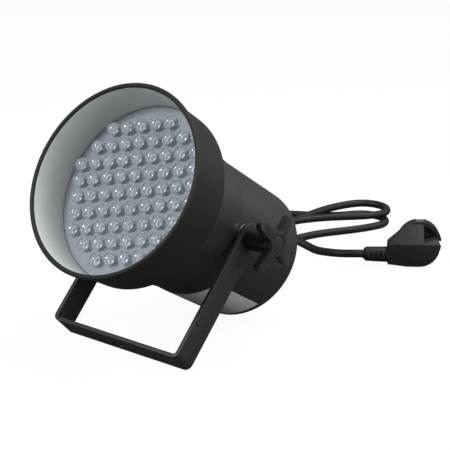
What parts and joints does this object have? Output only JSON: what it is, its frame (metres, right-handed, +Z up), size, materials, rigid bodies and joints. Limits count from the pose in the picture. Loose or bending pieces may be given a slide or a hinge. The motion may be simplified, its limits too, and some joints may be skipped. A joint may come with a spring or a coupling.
{
  "type": "par can light",
  "caption": "Short stage spotlight can with a flared hood, a plate of clear lamps, a tilting yoke clamped by star knobs, and a mains lead in a loose hank with an angled plug.",
  "frame": {"origin": "on the floor under the middle of the can, yoke and knobs, as the light stands tilted on its rear edge and its crossbar", "axes": "+Z up, +X along the pivot axis, -Y to the front, where the hood points"},
  "size_m": [0.2296, 0.4558, 0.1875],
  "materials": {
    "black_enamel": "satin",
    "grey_plate": "matte",
    "clear_lamp": "clear gloss",
    "board_green": "satin",
    "board_brown": "satin",
    "chip_black": "matte",
    "zinc_steel": "satin",
    "black_rubber": "matte",
    "knob_plastic": "semi gloss",
    "grey_label": "matte",
    "gland_plastic": "matte",
    "cord_sheath": "satin",
    "wire_brown": "satin",
    "terminal_green": "satin",
    "core_steel": "satin",
    "copper_coil": "satin",
    "capacitor_sleeve": "gloss",
    "fuse_glass": "clear",
    "brass": "bright",
    "nickel_plate": "satin",
    "header_white": "satin",
    "ribbon_grey": "matte"
  },
  "bodies": {
    "can": {"hood": "black_enamel", "shoulder_ring": "black_enamel", "barrel": "black_enamel", "rear_can": "black_enamel", "led_plate": "grey_plate", "led_board": "board_green", "red_leds": "clear_lamp", "green_leds": "clear_lamp", "blue_leds": "clear_lamp", "led_resistors": "chip_black", "plate_posts": "zinc_steel", "plate_screws": "zinc_steel", "pivot_inserts": "zinc_steel", "pivot_bushes": "zinc_steel", "blank_label": "grey_label", "gland_body": "gland_plastic", "gland_locknut": "gland_plastic", "gland_cap": "gland_plastic", "cable_end": "cord_sheath", "mains_wires": "wire_brown", "terminal_block": "terminal_green", "terminal_screws": "zinc_steel", "supply_board": "board_brown", "board_posts": "zinc_steel", "board_screws": "zinc_steel", "transformer_core": "core_steel", "transformer_coil": "copper_coil", "smoothing_capacitor": "capacitor_sleeve", "driver_transistors": "chip_black", "controller_chip": "chip_black", "fuse": "fuse_glass", "fuse_clips": "brass", "board_headers": "header_white", "ribbon_cable": "ribbon_grey", "earth_screw": "zinc_steel", "cord_lead": "cord_sheath", "cord_hank": "cord_sheath", "cord_tail": "cord_sheath", "plug_body": "cord_sheath", "plug_relief": "cord_sheath", "plug_pins": "nickel_plate", "plug_earth_clips": "nickel_plate"},
    "yoke": {"yoke_crossbar": "black_enamel", "yoke_arm_left": "black_enamel", "yoke_arm_right": "black_enamel", "clamp_washers": "black_rubber"},
    "knob_left": {"knob_left": "knob_plastic", "knob_left_cap": "knob_plastic", "knob_left_stud": "zinc_steel"},
    "knob_right": {"knob_right": "knob_plastic", "knob_right_cap": "knob_plastic", "knob_right_stud": "zinc_steel"}
  },
  "joints": [
    {"name": "yoke_tilt", "type": "hinge", "parent": "can", "child": "yoke", "pos_m": [0, 0.01217, 0.08071], "axis": [1, 0, 0], "range_deg": [-24, 76]},
    {"name": "knob_left_turn", "type": "hinge", "parent": "can", "child": "knob_left", "pos_m": [0, 0.01217, 0.08071], "axis": [1, 0, 0], "continuous": true},
    {"name": "knob_right_turn", "type": "hinge", "parent": "can", "child": "knob_right", "pos_m": [0, 0.01217, 0.08071], "axis": [1, 0, 0], "continuous": true}
  ]
}
